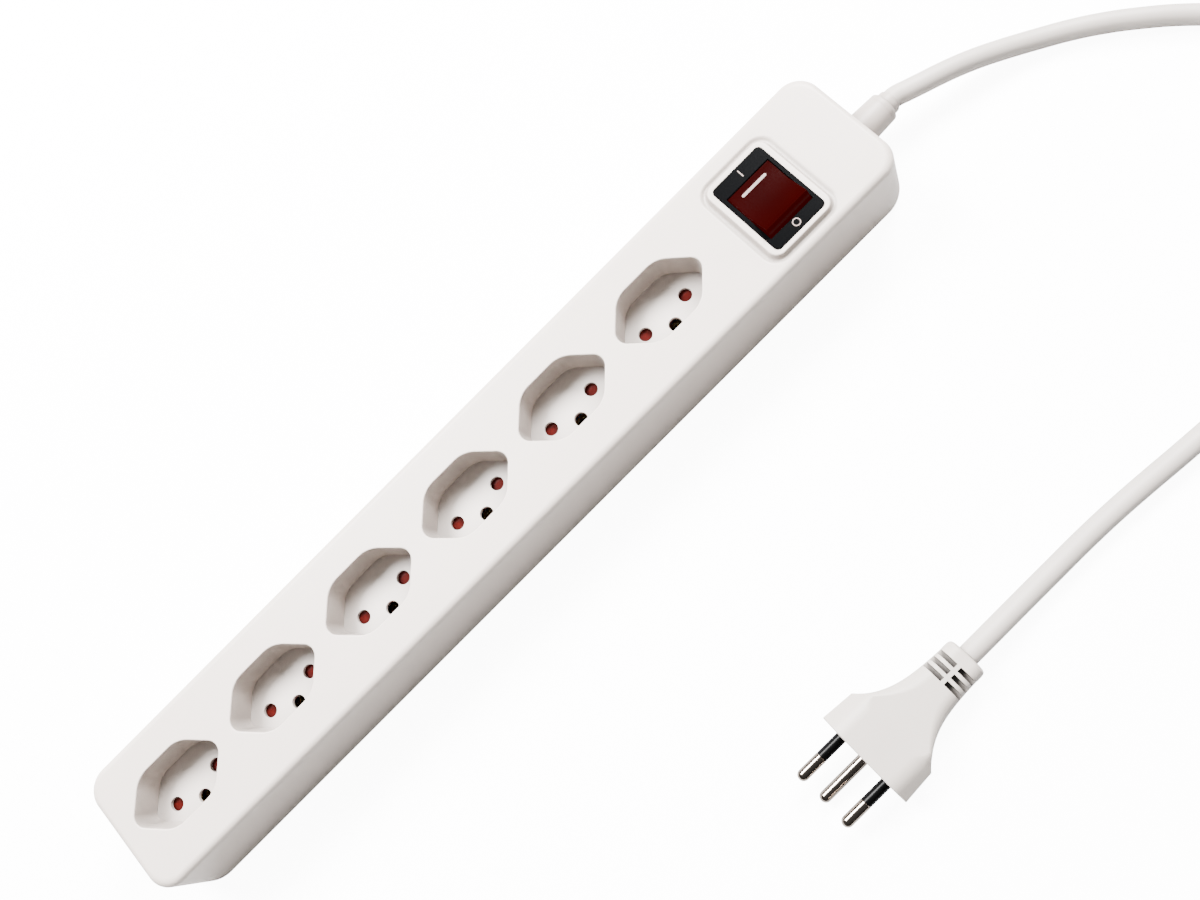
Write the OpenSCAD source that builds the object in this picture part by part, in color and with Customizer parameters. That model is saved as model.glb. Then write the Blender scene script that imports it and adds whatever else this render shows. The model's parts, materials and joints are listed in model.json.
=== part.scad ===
// Six-way power strip: a long white housing with recessed three-pin sockets,
// a lit circuit-breaker rocker switch, a mains cord and a flat three-pin plug.
// Origin: middle of the housing's underside. +X runs towards the cord, +Z is up.
// The earth holes lie on the -Y side of each socket. Millimetres.

/* [Housing] */
// Length of the housing at its underside
body_l = 354; // [350:1:358]
// Width of the housing at its underside
body_w = 50; // [50:1:54]
// Height of the housing's top face
body_h = 34; // [34:1:38]
// Thickness of the housing's walls
wall = 2; // [1.6:0.2:2.2]
// Radius of the housing's corners at its top
corner_r = 8.5; // [7:0.5:10]
// Radius of the housing's corners at its underside
foot_r = 13.5; // [11:0.5:15]
// Radius of the edge round the top face
edge_r = 2.6; // [1.5:0.1:3]
// How far each long wall leans in from the underside to the top
draft = 1; // [0.5:0.1:1.2]
// How far each end leans in from the underside to the top
end_lean = 6.5; // [5:0.5:8]

/* [Sockets] */
// Number of sockets
socket_count = 6; // [6]
// Distance from one socket to the next
socket_pitch = 45.2; // [45:0.1:45.4]
// Place of the row's middle along the housing
row_x = -31.3; // [-31.8:0.1:-31]
// Place of the live and neutral holes across the housing
row_y = -0.2; // [-0.5:0.1:0]
// Depth of the recess
recess_d = 12.2; // [11:0.2:12.4]
// Half the length of the recess, tip to tip
recess_hl = 18.4; // [18.2:0.1:18.8]
// Half the width of the recess
recess_hw = 10.9; // [10.5:0.1:11.2]

/* [Contacts] */
// Distance between the live and neutral pins
pin_gap = 19; // [19]
// Offset of the earth pin from the line of the other two
earth_off = 5; // [5]
// Diameter of a pin
pin_d = 4; // [4]
// Length of a pin
pin_l = 19; // [19]
// Diameter of a contact hole in a socket
hole_d = 4.8; // [4.6:0.1:4.9]
// Travel that opens a shutter
shutter_travel = 5.2; // [5:0.1:5.3]

/* [Switch] */
// Place of the switch along the housing
switch_x = 130.9; // [130:0.1:132]
// Place of the rocker's axle across the housing
switch_y = -2.1; // [-2.4:0.1:-1.8]
// Width of the switch's frame, along the housing
frame_w = 22; // [21.6:0.1:22.2]
// Length of the switch's frame, across the housing
frame_l = 30.8; // [30:0.1:31]
// Width of the rocker
rocker_w = 18.4; // [18:0.1:18.6]
// Tilt of the rocker to each side of level
rocker_tilt = 9; // [7:0.5:10]

/* [Cord and plug] */
// Diameter of the cord
cord_d = 7.4; // [7.4]
// Width of the plug's front, tip to tip
plug_w = 35.3; // [34:0.1:36]
// Length of the plug's body
plug_l = 46.2; // [45:0.2:47]
// Length of the insulating sleeve on a pin
sleeve_l = 9; // [8:0.1:9.5]

/* [Hidden] */
$fn = 48;
slab = 0.01;     // thickness of the thin plates that a hull() spans
cut = 1;         // how far a cutter runs past the face it opens
gap = 0.2;       // clearance between parts that are assembled

// Levels and places worked out from the housing
lid_z = body_h - wall;
floor_z = body_h - recess_d;
insert_t = 1.6;
base_t = 2.5;
shelf_w = 1.4;   // wall of a recess
recess_tip_r = 3.8;
recess_side_r = 9.8;
recess_shift = [0.5, 1]; // from the middle of a socket's pins to the middle of its recess
inner_l = body_l - 2 * (wall + end_lean);
inner_w = body_w - 2 * (wall + draft);
inner_r = 7;
pin_r = pin_d / 2;
socket_x = [for (i = [0:socket_count - 1])
    row_x + ((socket_count - 1) / 2 - i) * socket_pitch];

// Shutters: a ramped plate under the floor of each recess
shutter_hl = 12.4;
shutter_z = floor_z - insert_t - 0.2;
shutter_back = 3.4;
shutter_front = hole_d / 2 + 0.3 - shutter_travel;
shutter_thin = 1.2;
shutter_thick = 2;
spring_r = 1.6;
spring_wire = 0.35;
spring_end = 15;
spring_z = shutter_z - shutter_thick / 2 - 0.6;

// Busbars: strips low in the housing, with a sleeve under every contact hole
sleeve_r = 3.1;
sleeve_bore_r = 2.2;
sleeve_top = floor_z - 6;
strip_t = 0.8;
strip_w = 4.4;
live_strip_y = row_y + 7;
neutral_strip_y = row_y - 11;
earth_strip_y = row_y - 12.6;
low_z = 7;
earth_z = 13;

// Switch: the frame lies in a raised pad, and the rocker turns on its own axle
pad_h = 1.2;
pad_foot = 3.4;
pad_slope = 1.8;
frame_off = 0.7; // from the axle to the middle of the frame and its case
frame_t = 1.6;
frame_r = 1.6;
frame_top = body_h + frame_t;
case_w = 20.6;
case_l = 28.8;
case_bottom = 9;
axle_z = frame_top - 4.6;
axle_r = 1.2;
axle_hole_r = 1.28;
rocker_r = 10.85;
rocker_gap = 0.35;
rocker_end = [8.6, 6.1];
rocker_mid = [0, 4.4];
rocker_low = -1.6;
stem_r = 2.2;
stem_low = -6.4;
chamber_z = 11;
arm_z = 18;
arm_tilt = 6;

// Cord entry and clamp
cord_r = cord_d / 2;
cord_z = 12.4;
entry_r = 8;
entry_face = inner_l / 2 - 1.5;
gland_seat = 172.6;
gland_r = 6.2;
neck_r = 4.95;
gland_end = 187.4;
collar_end = 190;
tail_start = 153;
clamp_x = 161;
clamp_w = 6;
clamp_screw_y = 7.6;

// Screws that hold the base plate
screw_xy = [for (x = [-121, 14, 157], y = [-18.9, 18.9]) [x, y]];
boss_r = 3;
screw_r = 1.45;
head_r = 2.3;
head_h = 1.8;
screw_top = 24;

// Plug, lying flat: its pins point along -X
plug_x = 23.6;
plug_y = -146.6;
plug_z = 8.4;
plug_up = 5.6;
plug_down = plug_z;
shoulder_x = 12;
shoulder_hw = 16.75;
relief_hw = 7.6;
relief_z = 7.2;
relief_half_t = 5.4;

// The cord's coil: three turns side by side on the floor and two nested on them
coil_x = 266;
coil_y = -150;
coil_lift = 0.6;
coil_outer_r = 49.7;
coil_inner_r = 27.3;
coil_h = 14.2;

// Route of the cord from the gland to the coil
strip_route = [
    [190, 0, 12.4], [191.5, 0, 12.4], [196.5, -1.7, 12.4], [202, -3.6, 12.1], [208, -5.4, 11.3],
    [215, -7.6, 10], [222, -10.1, 8.4], [229, -13, 6.7], [236, -16.3, 5.2], [243, -20.1, 4.2],
    [250, -24.4, 3.8], [259, -31.1, 3.8], [269, -40, 3.8], [279.5, -51, 3.8], [289, -63.5, 3.8],
    [298, -77.5, 3.8], [304.5, -92, 3.8], [309, -108, 4], [310.6, -124, 4.2]
];
// Route of the cord from the coil to the plug
plug_route = [
    [218, -161.7, 7.6], [212, -157.2, 6.2], [204, -153.4, 4.6], [194, -151.2, 3.9],
    [184, -150.2, 3.8], [174, -149.6, 3.8], [162, -148.8, 3.8], [149, -147.8, 3.8],
    [136, -147, 3.8], [122, -146.6, 3.8], [108, -146.6, 4], [96, -146.6, 4.6],
    [85, -146.6, 5.9], [77, -146.6, 6.9], [69.8, -146.6, 7.2]
];
// Routes of the wires inside the housing
live_in_route = [
    [152.6, 1.8, 14.2], [150, 1.8, 14.2], [147, 5.6, 11.4], [143.6, 8.4, 7], [139, 7.9, 4.9],
    [136, 7.9, 4.8], [134.1, 7.9, 4.8]
];
live_out_route = [
    [127.6, -12.1, 4.8], [125, -12.1, 4.8], [119, -8, 4.8], [112, -1, 4.8], [105, 4.8, 5.2],
    [98, 6.8, 5.7], [91.2, 6.8, 5.8]
];
neutral_route = [
    [152.6, 0, 11.2], [150, 0, 11.2], [147, -1.6, 8.4], [144.6, -6, 5.6], [142.4, -11.4, 4.6],
    [137, -16, 4.4], [128, -17.4, 4.4], [116, -17.4, 4.6], [104, -17.4, 5], [92, -17.4, 5],
    [84, -17.4, 5], [79, -17, 5], [74.7, -14.6, 5.6], [71.2, -11.8, 5.8]
];
earth_route = [
    [152.6, -1.8, 14.2], [150, -1.8, 14.2], [146.5, -6, 14.8], [144.2, -11.6, 14.8],
    [142, -16.8, 14.2], [136, -19.4, 13.2], [124, -19.4, 12.6], [113, -18, 12.4],
    [102, -15.4, 12.1], [93, -13.2, 11.8], [83.6, -12.8, 11.8]
];
wire_r = 1.1;

// Points of an arc round c, from angle a0 to a1
function arc(c, r, a0, a1, n = 6) =
    [for (i = [0:n]) let (a = a0 + (a1 - a0) * i / n) c + r * [cos(a), sin(a)]];

// A long hexagon with right-angled tips on the X axis and rounded vertices
function hexagon(hl, hw, tip_r, side_r) =
    let (nominal = hl + tip_r * (sqrt(2) - 1),
         sx = nominal - hw - side_r * tan(22.5),
         sy = hw - side_r,
         tx = hl - tip_r)
    concat(
        arc([tx, 0], tip_r, -45, 45), arc([sx, sy], side_r, 45, 90),
        arc([-sx, sy], side_r, 90, 135), arc([-tx, 0], tip_r, 135, 225),
        arc([-sx, -sy], side_r, 225, 270), arc([sx, -sy], side_r, 270, 315));

// Unit direction of a route at point i
function along(p, i) =
    let (d = p[min(i + 1, len(p) - 1)] - p[max(i - 1, 0)]) d / norm(d);

// Catmull-Rom point between route points i and i + 1
function spline_point(p, i, t) =
    let (a = p[max(i - 1, 0)], b = p[i], c = p[i + 1], d = p[min(i + 2, len(p) - 1)])
    0.5 * (2 * b + (c - a) * t + (2 * a - 5 * b + 4 * c - d) * t * t
        + (3 * b - a - 3 * c + d) * t * t * t);

// The route with extra points between the given ones
function smooth_route(p, steps) =
    concat([for (i = [0:len(p) - 2], s = [0:steps - 1]) spline_point(p, i, s / steps)],
        [p[len(p) - 1]]);

// Half-width of the plug at a distance x behind its front
function plug_half(x) = x < shoulder_x
    ? plug_w / 2 + (shoulder_hw - plug_w / 2) * x / shoulder_x
    : relief_hw + (shoulder_hw - relief_hw) * exp(-(x - shoulder_x) / 7.6);

module rounded_rect(l, w, r) {
    square([l - 2 * r, w], center = true);
    square([l, w - 2 * r], center = true);
    for (x = [-1, 1], y = [-1, 1])
        translate([x * (l / 2 - r), y * (w / 2 - r)]) circle(r);
}

// A closed tube swept along a route
module tube(route, r, sides = 8, steps = 1) {
    p = smooth_route(route, steps);
    n = len(p);
    points = [for (i = [0:n - 1])
        let (t = along(p, i), u = cross([0, 0, 1], t) / norm(cross([0, 0, 1], t)), v = cross(t, u))
        for (k = [0:sides - 1])
            p[i] + r * (cos(360 * k / sides) * u + sin(360 * k / sides) * v)];
    side_faces = [for (i = [0:n - 2], k = [0:sides - 1])
        let (a = i * sides + k, b = i * sides + (k + 1) % sides)
        [a, a + sides, b + sides, b]];
    ends = [[for (k = [0:sides - 1]) k], [for (k = [sides - 1:-1:0]) (n - 1) * sides + k]];
    polyhedron(points, concat(side_faces, ends), convexity = 6);
}

module x_cylinder(r, l) rotate([0, 90, 0]) cylinder(r = r, h = l);

module at_socket(i) translate([socket_x[i], row_y, 0]) children();

// A recess's outline moved outward by grow and extruded
module recess_prism(grow, z, h) translate([recess_shift[0], recess_shift[1], z])
    linear_extrude(h) polygon(hexagon(recess_hl + grow, recess_hw + grow,
        recess_tip_r + grow, recess_side_r + grow));

module at_switch(z = 0) translate([switch_x, switch_y, z]) children();

module at_frame(z = 0) translate([switch_x, switch_y + frame_off, z]) children();

// One level of the housing's outer form: half-sizes come in by end_in and side_in
module housing_level(z, end_in, side_in, r)
    translate([0, 0, z]) linear_extrude(slab)
        rounded_rect(body_l - 2 * end_in, body_w - 2 * side_in, r);

module housing_form() hull() {
    housing_level(0, 0, 0, foot_r);
    for (a = [0:15:90]) let (in = edge_r * (1 - cos(a)))
        housing_level(body_h - edge_r * (1 - sin(a)) - slab, end_lean + in, draft + in,
            corner_r - in / 2);
}

// One level of the room inside the housing, which widens towards the underside
module inner_level(z, inset) let (low = 1 - z / lid_z)
    translate([0, 0, z]) linear_extrude(slab)
        rounded_rect(inner_l + 2 * end_lean * low - 2 * inset, inner_w - 2 * inset,
            inner_r + (foot_r - wall - inner_r) * low - inset);

module inner_form(bottom, top, inset) hull() {
    inner_level(bottom, inset);
    inner_level(top - slab, inset);
}

// The raised pad round the switch
module switch_pad() at_frame() hull() {
    translate([0, 0, lid_z]) linear_extrude(wall)
        rounded_rect(frame_w + 2 * pad_foot, frame_l + 2 * pad_foot, 5);
    translate([0, 0, lid_z]) linear_extrude(wall + pad_h)
        rounded_rect(frame_w + 2 * pad_slope, frame_l + 2 * pad_slope, 3);
}

module upper_shell() color("whitesmoke") difference() {
    union() {
        difference() {
            housing_form();
            inner_form(-cut, lid_z, 0);
        }
        intersection() {
            housing_form();
            translate([entry_face, 0, cord_z]) x_cylinder(entry_r, body_l / 2 - entry_face);
        }
        switch_pad();
        for (i = [0:socket_count - 1]) at_socket(i)
            recess_prism(shelf_w, floor_z - insert_t, lid_z - floor_z + insert_t + slab);
        for (p = screw_xy) translate([p[0], p[1], base_t + gap])
            cylinder(r = boss_r, h = lid_z - base_t);
    }
    for (i = [0:socket_count - 1]) at_socket(i)
        recess_prism(0, floor_z - insert_t - cut, recess_d + insert_t + 2 * cut);
    at_frame(lid_z - cut) linear_extrude(wall + pad_h + 2 * cut)
        rounded_rect(case_w + gap, case_l + gap, 1);
    at_frame(body_h) linear_extrude(pad_h + cut)
        rounded_rect(frame_w + gap, frame_l + gap, frame_r + gap / 2);
    translate([entry_face - cut, 0, cord_z]) x_cylinder(neck_r + 0.1, body_l / 2 - entry_face + cut);
    translate([gland_seat, 0, cord_z]) x_cylinder(gland_r + 0.1, body_l / 2 - gland_seat);
    for (p = screw_xy) translate([p[0], p[1], 0]) cylinder(r = screw_r + 0.05, h = screw_top + 1);
}

// Ribs that carry the busbars, one pair beside each socket
module busbar_ribs() for (i = [0:socket_count - 1]) at_socket(i) {
    for (y = [live_strip_y, neutral_strip_y])
        translate([-1.5, y - row_y - strip_w / 2, base_t - slab])
            cube([3, strip_w, low_z - base_t + slab]);
    translate([-1.5, earth_strip_y - row_y - strip_w / 2 - 0.2, base_t - slab])
        cube([3, 1.6, earth_z - base_t + slab]);
}

module base_plate() color("gainsboro") difference() {
    union() {
        inner_form(0, base_t, gap);
        busbar_ribs();
        translate([clamp_x - clamp_w / 2, -10, base_t - slab])
            cube([clamp_w, 20, cord_z - base_t - 0.5 + slab]);
    }
    translate([clamp_x - clamp_w / 2 - cut, 0, cord_z])
        x_cylinder(cord_r + 0.02, clamp_w + 2 * cut);
    for (y = [-clamp_screw_y, clamp_screw_y]) translate([clamp_x, y, base_t + 1])
        cylinder(r = 1.25, h = cord_z);
    for (p = screw_xy) translate([p[0], p[1], 0]) {
        translate([0, 0, -cut]) cylinder(r = screw_r + 0.15, h = base_t + 2 * cut);
        translate([0, 0, -cut]) cylinder(r = head_r + 0.1, h = cut + head_h - 0.5);
    }
}

module housing_screws() color("silver") for (p = screw_xy) translate([p[0], p[1], 0.2])
    difference() {
        union() {
            cylinder(r = head_r, h = head_h - 0.75);
            cylinder(r = screw_r, h = screw_top);
        }
        for (a = [0, 90]) rotate([0, 0, a])
            translate([-1.6, -0.35, -cut]) cube([3.2, 0.7, cut + 0.8]);
    }

// Floor of a recess, with its contact holes, two feet and a ledge for the shutter
module socket_insert(i) color("white") at_socket(i) difference() {
    union() {
        recess_prism(-gap / 2, floor_z - insert_t, insert_t);
        for (side = [-1, 1]) translate([side * 15.2, 0, base_t])
            translate([-1.3, -1.5, 0]) cube([2.6, 5, floor_z - insert_t - base_t + slab]);
        for (side = [-1, 1])
            translate([side * 12.9 - 1.3, -1.2, shutter_z - shutter_thick - 1.3])
                cube([2.6, 2.4, 1]);
    }
    for (x = [-pin_gap / 2, pin_gap / 2]) translate([x, 0, floor_z - insert_t - cut])
        cylinder(d = hole_d, h = insert_t + 2 * cut);
    translate([0, -earth_off, floor_z - insert_t - cut])
        cylinder(d = hole_d, h = insert_t + 2 * cut);
}

// A red plate whose ramps turn the push of two pins into a slide towards +Y
module shutter(i) color("firebrick") at_socket(i) {
    translate([-shutter_hl, 0, shutter_z]) rotate([90, 0, 90]) linear_extrude(2 * shutter_hl)
        polygon([
            [shutter_front, -shutter_thin], [shutter_front, -0.5], [0.8, 0],
            [shutter_back, 0], [shutter_back, -shutter_thick], [0.5, -shutter_thick]
        ]);
    translate([0, shutter_back - slab, spring_z]) rotate([-90, 0, 0])
        cylinder(r = spring_r - spring_wire - 0.1, h = 2);
}

// Compression spring behind a shutter, as the sleeve that its wire turns in
module shutter_spring(i) color("silver") at_socket(i)
    translate([0, shutter_back + 0.05, spring_z]) rotate([-90, 0, 0]) difference() {
        cylinder(r = spring_r, h = spring_end - shutter_back - 0.1);
        translate([0, 0, -cut])
            cylinder(r = spring_r - spring_wire, h = spring_end + 2 * cut);
    }

// A contact sleeve that grips a pin
module contact_sleeve(z) translate([0, 0, z])
    difference() {
        cylinder(r = sleeve_r, h = sleeve_top - z);
        translate([0, 0, -cut]) cylinder(r = sleeve_bore_r, h = sleeve_top - z + 2 * cut);
        translate([-0.3, -sleeve_r - cut, 1.4]) cube([0.6, 2 * (sleeve_r + cut), sleeve_top]);
    }

// A busbar: a strip, and for each socket a sleeve joined to it by an arm
module busbar(strip_y, hole_x, hole_y, z) {
    side = sign(strip_y - row_y - hole_y);
    reach = abs(strip_y - row_y - hole_y) - sleeve_bore_r - 0.3;
    end = socket_x[socket_count - 1] + hole_x - 3;
    translate([end, strip_y - strip_w / 2, z])
        cube([socket_x[0] + hole_x + 3 - end, strip_w, strip_t]);
    for (i = [0:socket_count - 1]) at_socket(i) translate([hole_x, hole_y, 0]) {
        contact_sleeve(z);
        translate([-1.8, side > 0 ? sleeve_bore_r + 0.3 : -sleeve_bore_r - 0.3 - reach, z])
            cube([3.6, reach, strip_t]);
    }
}

module live_busbar() color("goldenrod") busbar(live_strip_y, pin_gap / 2, 0, low_z);

module neutral_busbar() color("goldenrod")
    busbar(neutral_strip_y, -pin_gap / 2, 0, low_z);

module earth_busbar() color("goldenrod")
    busbar(earth_strip_y, 0, -earth_off, earth_z);

// Switch case: a box under a black frame, with a round chamber for the rocker
module switch_case() color([0.07, 0.07, 0.08]) difference() {
    union() {
        at_frame(body_h) linear_extrude(frame_t) rounded_rect(frame_w, frame_l, frame_r);
        at_frame(case_bottom + 2 + gap / 2) linear_extrude(body_h - case_bottom - 2)
            rounded_rect(case_w, case_l, 0.9);
    }
    at_switch(axle_z) translate([-rocker_w / 2 - rocker_gap, 0, 0])
        x_cylinder(rocker_r + rocker_gap, rocker_w + 2 * rocker_gap);
    at_switch(chamber_z) translate([-rocker_w / 2 + 0.4, -11.4, -cut])
        cube([rocker_w - 0.8, 22.8, axle_z - chamber_z]);
    at_switch(axle_z) translate([-case_w / 2 - cut, 0, 0])
        x_cylinder(axle_hole_r, case_w + 2 * cut);
}

// Base of the switch, which carries its terminals
module switch_base() color([0.12, 0.12, 0.13]) difference() {
    at_frame(case_bottom) linear_extrude(2) rounded_rect(case_w, case_l, 0.9);
    for (y = [-10, 0, 10]) at_switch(case_bottom - cut) translate([-3.3, y - 0.5, 0])
        cube([6.6, 1, 2 + 2 * cut]);
}

// Three flat terminals through the switch base, the middle one carrying the arm
module switch_terminals() color("goldenrod") {
    for (y = [-10, 10]) at_switch(base_t + 0.5) translate([-3.1, y - 0.4, 0])
        cube([6.2, 0.8, 10.5]);
    at_switch(base_t + 0.5) translate([-3.1, -0.4, 0])
        cube([6.2, 0.8, arm_z - base_t - 1.6]);
    at_switch(base_t + 11) translate([0, -9.2, -slab]) cylinder(r = 1.5, h = 1.9);
}

// Rocker: a clear red key with a shallow V on top and ends that are arcs round its axle
module rocker() color("darkred") at_switch(axle_z) rotate([-rocker_tilt, 0, 0]) {
    difference() {
        intersection() {
            translate([-rocker_w / 2, 0, 0]) x_cylinder(rocker_r, rocker_w);
            translate([-rocker_w / 2, 0, 0]) rotate([90, 0, 90]) linear_extrude(rocker_w)
                polygon([
                    [-rocker_r - 1, rocker_low], [rocker_r + 1, rocker_low],
                    [rocker_r + 1, rocker_end[1] + 0.3], rocker_end,
                    rocker_mid, [-rocker_end[0], rocker_end[1]],
                    [-rocker_r - 1, rocker_end[1] + 0.3]
                ]);
        }
        for (y = [-6.3, 6.3]) translate([-rocker_w / 2 + 1.2, y - 2.7, rocker_low - cut])
            cube([rocker_w - 2.4, 5.4, 4 + cut]);
    }
    translate([0, 0, stem_low]) cylinder(r = stem_r, h = rocker_low - stem_low + 1);
    translate([-rocker_w / 2 - rocker_gap - 0.7, 0, 0])
        x_cylinder(axle_r, rocker_w + 2 * rocker_gap + 1.4);
}

// Spring between the rocker's stem and the contact arm
module rocker_spring() color("silver") at_switch(axle_z) rotate([-rocker_tilt, 0, 0])
    translate([0, 0, stem_low - 5.4]) difference() {
        cylinder(r = 1.5, h = 5.3);
        translate([0, 0, -cut]) cylinder(r = 1.1, h = 5.3 + 2 * cut);
    }

// Contact arm: a copper see-saw on the middle terminal, tipped on to the fixed contact
module contact_arm() color("peru") at_switch(arm_z - 0.35) rotate([arm_tilt, 0, 0]) {
    translate([-2.4, -10.5, 0.35]) cube([4.8, 19, 1]);
    translate([-2.4, 0, 0]) x_cylinder(0.7, 4.8);
    translate([0, -9, -0.35]) cylinder(r = 1.4, h = 0.7 + slab);
}

// Overload strip: a flat bimetal spring beside the chamber's wall
module bimetal_strip() color("darkgray") at_switch(case_bottom + 2.1) {
    translate([5.2, -8, 0]) cube([0.7, 16, 6.5]);
    translate([5.2, -8, 0]) cube([2.4, 1, 6.5]);
}

// Neon lamp under the rocker, with its two leads
module neon_lamp() color("orange") at_switch(axle_z - 11.6) {
    translate([-5.6, -7.8, 0]) rotate([-90, 0, 0]) cylinder(r = 1.6, h = 5);
    for (z = [-0.6, 0.6]) translate([-5.6, -9.8, z]) rotate([-90, 0, 0])
        cylinder(r = 0.25, h = 2.1);
}

module wire_live_in() color("saddlebrown") tube(live_in_route, wire_r, 8, 2);
module wire_live_out() color("saddlebrown") tube(live_out_route, wire_r, 8, 2);
module wire_neutral() color("royalblue") tube(neutral_route, wire_r, 8, 2);
module wire_earth() color("yellowgreen") tube(earth_route, wire_r, 8, 2);

// Cord gland: flange inside, neck through the end wall, tapered sleeve seated in the
// wall's pocket, thin collar on the cord
module cord_gland() color("whitesmoke") translate([0, 0, cord_z]) difference() {
    union() {
        translate([entry_face - 2.1, 0, 0]) x_cylinder(gland_r, 2);
        translate([entry_face - 0.2, 0, 0]) x_cylinder(neck_r, gland_seat - entry_face + 0.4);
        translate([gland_seat + 0.1, 0, 0]) rotate([0, 90, 0])
            cylinder(r1 = gland_r, r2 = 5.6, h = gland_end - gland_seat - 0.1);
        translate([gland_end - slab, 0, 0]) x_cylinder(4.4, collar_end - gland_end + slab);
    }
    translate([entry_face - 3, 0, 0]) x_cylinder(cord_r + 0.05, collar_end - entry_face + 3 + cut);
}

// The cord's jacket inside the housing and the gland
module cord_tail() color("whitesmoke") translate([tail_start, 0, cord_z])
    x_cylinder(cord_r, collar_end - tail_start);

// Saddle that presses the cord on to the base plate
module cord_clamp() color("lightgray") difference() {
    translate([clamp_x - clamp_w / 2, -10, cord_z + 0.3]) cube([clamp_w, 20, 5.6]);
    translate([clamp_x - clamp_w / 2 - cut, 0, cord_z])
        x_cylinder(cord_r + 0.02, clamp_w + 2 * cut);
    for (y = [-clamp_screw_y, clamp_screw_y]) translate([clamp_x, y, cord_z])
        cylinder(r = 1.5, h = 8);
}

module clamp_screws() color("silver")
    for (y = [-clamp_screw_y, clamp_screw_y]) translate([clamp_x, y, 0]) {
        translate([0, 0, base_t + 2]) cylinder(r = 1.2, h = cord_z + 5.9 - base_t - 2 + slab);
        translate([0, 0, cord_z + 5.95]) cylinder(r = 2.4, h = 1.5);
    }

module cord_from_strip() color("whitesmoke") tube(strip_route, cord_r, 12, 1);

// Outer form of the cord's coil
module cord_coil() color("whitesmoke") translate([coil_x, coil_y, coil_lift])
    rotate_extrude($fn = 72) translate([coil_inner_r, 0])
        square([coil_outer_r - coil_inner_r, coil_h]);

module cord_tie() color("dimgray") translate([coil_x, coil_y, 0]) difference() {
    translate([-3, coil_inner_r - 1.2, 0.05])
        cube([6, coil_outer_r - coil_inner_r + 2.4, coil_h + 1.4]);
    translate([-3 - cut, coil_inner_r - 0.6, coil_lift - 0.05])
        cube([6 + 2 * cut, coil_outer_r - coil_inner_r + 1.2, coil_h + 0.1]);
}

module cord_to_plug() color("whitesmoke") tube(plug_route, cord_r, 12, 1);

// Plan of the plug's body: wide front, hollow flanks, narrow strain relief
module plug_plan() {
    steps = [for (x = [0:1.5:plug_l - 1]) [x, plug_half(x)]];
    back = [[plug_l, plug_half(plug_l) - 1]];
    half = concat(steps, back);
    polygon(concat(half, [for (i = [len(half) - 1:-1:0]) [half[i][0], -half[i][1]]]));
}

// Front of the plug: a hexagon that is deeper on its earth side
module plug_front() {
    h = plug_w / 2;
    polygon([
        [-h, 0], [-h + plug_up, plug_up], [h - plug_up, plug_up],
        [h, 0], [h - plug_down, -plug_down], [-h + plug_down, -plug_down]
    ]);
}

// Side of the plug: flat in front, thinner at the strain relief
module plug_side() {
    low = relief_z - plug_z - relief_half_t;
    high = relief_z - plug_z + relief_half_t;
    polygon([
        [0, -plug_down], [15, -plug_down], [23, -plug_down + 0.6], [32, low],
        [plug_l, low], [plug_l, high], [32, high], [21, plug_up - 0.6], [13, plug_up],
        [0, plug_up]
    ]);
}

module plug_body() color("whitesmoke") translate([plug_x, plug_y, plug_z]) difference() {
    intersection() {
        translate([0, 0, -plug_down]) linear_extrude(plug_up + plug_down) plug_plan();
        rotate([90, 0, 90]) linear_extrude(plug_l) plug_front();
        translate([0, plug_w / 2, 0]) rotate([90, 0, 0]) linear_extrude(plug_w) plug_side();
    }
    for (y = [-pin_gap / 2, pin_gap / 2]) translate([-cut, y, 0]) x_cylinder(1.55, 10 + cut);
    translate([-cut, 0, -earth_off]) x_cylinder(1.55, 10 + cut);
    for (row = [0:2], side = [-1, 1], top = [-1, 1])
        translate([34.5 + 2.95 * row, side * 5.1, relief_z - plug_z + top * 5])
            cube([1.6, 8.4, 5.4], center = true);
}

// A pin with a round tip and a thinner root inside the plug
module plug_pin(y, z, neck_l) translate([plug_x, plug_y + y, plug_z + z]) {
    translate([-pin_l + pin_r, 0, 0]) sphere(pin_r);
    translate([-pin_l + pin_r, 0, 0]) x_cylinder(pin_r, pin_l - pin_r - neck_l);
    translate([-neck_l - slab, 0, 0]) x_cylinder(1.5, neck_l + 9.9 + slab);
}

module plug_sleeve(y) translate([plug_x - sleeve_l, plug_y + y, plug_z]) difference() {
    x_cylinder(pin_r, sleeve_l);
    translate([-cut, 0, 0]) x_cylinder(1.55, sleeve_l + 2 * cut);
}

module plug_live_pin() color("silver") plug_pin(pin_gap / 2, 0, sleeve_l);
module plug_neutral_pin() color("silver") plug_pin(-pin_gap / 2, 0, sleeve_l);
module plug_earth_pin() color("silver") plug_pin(0, -earth_off, 0);
module plug_live_sleeve() color([0.05, 0.05, 0.05]) plug_sleeve(pin_gap / 2);
module plug_neutral_sleeve() color([0.05, 0.05, 0.05]) plug_sleeve(-pin_gap / 2);

upper_shell();
base_plate();
housing_screws();
for (i = [0:socket_count - 1]) {
    socket_insert(i);
    shutter(i);
    shutter_spring(i);
}
live_busbar();
neutral_busbar();
earth_busbar();
switch_case();
switch_base();
switch_terminals();
rocker();
rocker_spring();
contact_arm();
bimetal_strip();
neon_lamp();
wire_live_in();
wire_live_out();
wire_neutral();
wire_earth();
cord_gland();
cord_tail();
cord_clamp();
clamp_screws();
cord_from_strip();
cord_coil();
cord_tie();
cord_to_plug();
plug_body();
plug_live_pin();
plug_neutral_pin();
plug_earth_pin();
plug_live_sleeve();
plug_neutral_sleeve();
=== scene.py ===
"""Looks of the six-way power strip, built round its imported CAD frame. Sizes in mm, scaled to metres."""
import json
import math

import bmesh
import bpy
from mathutils import Matrix, Vector


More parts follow.
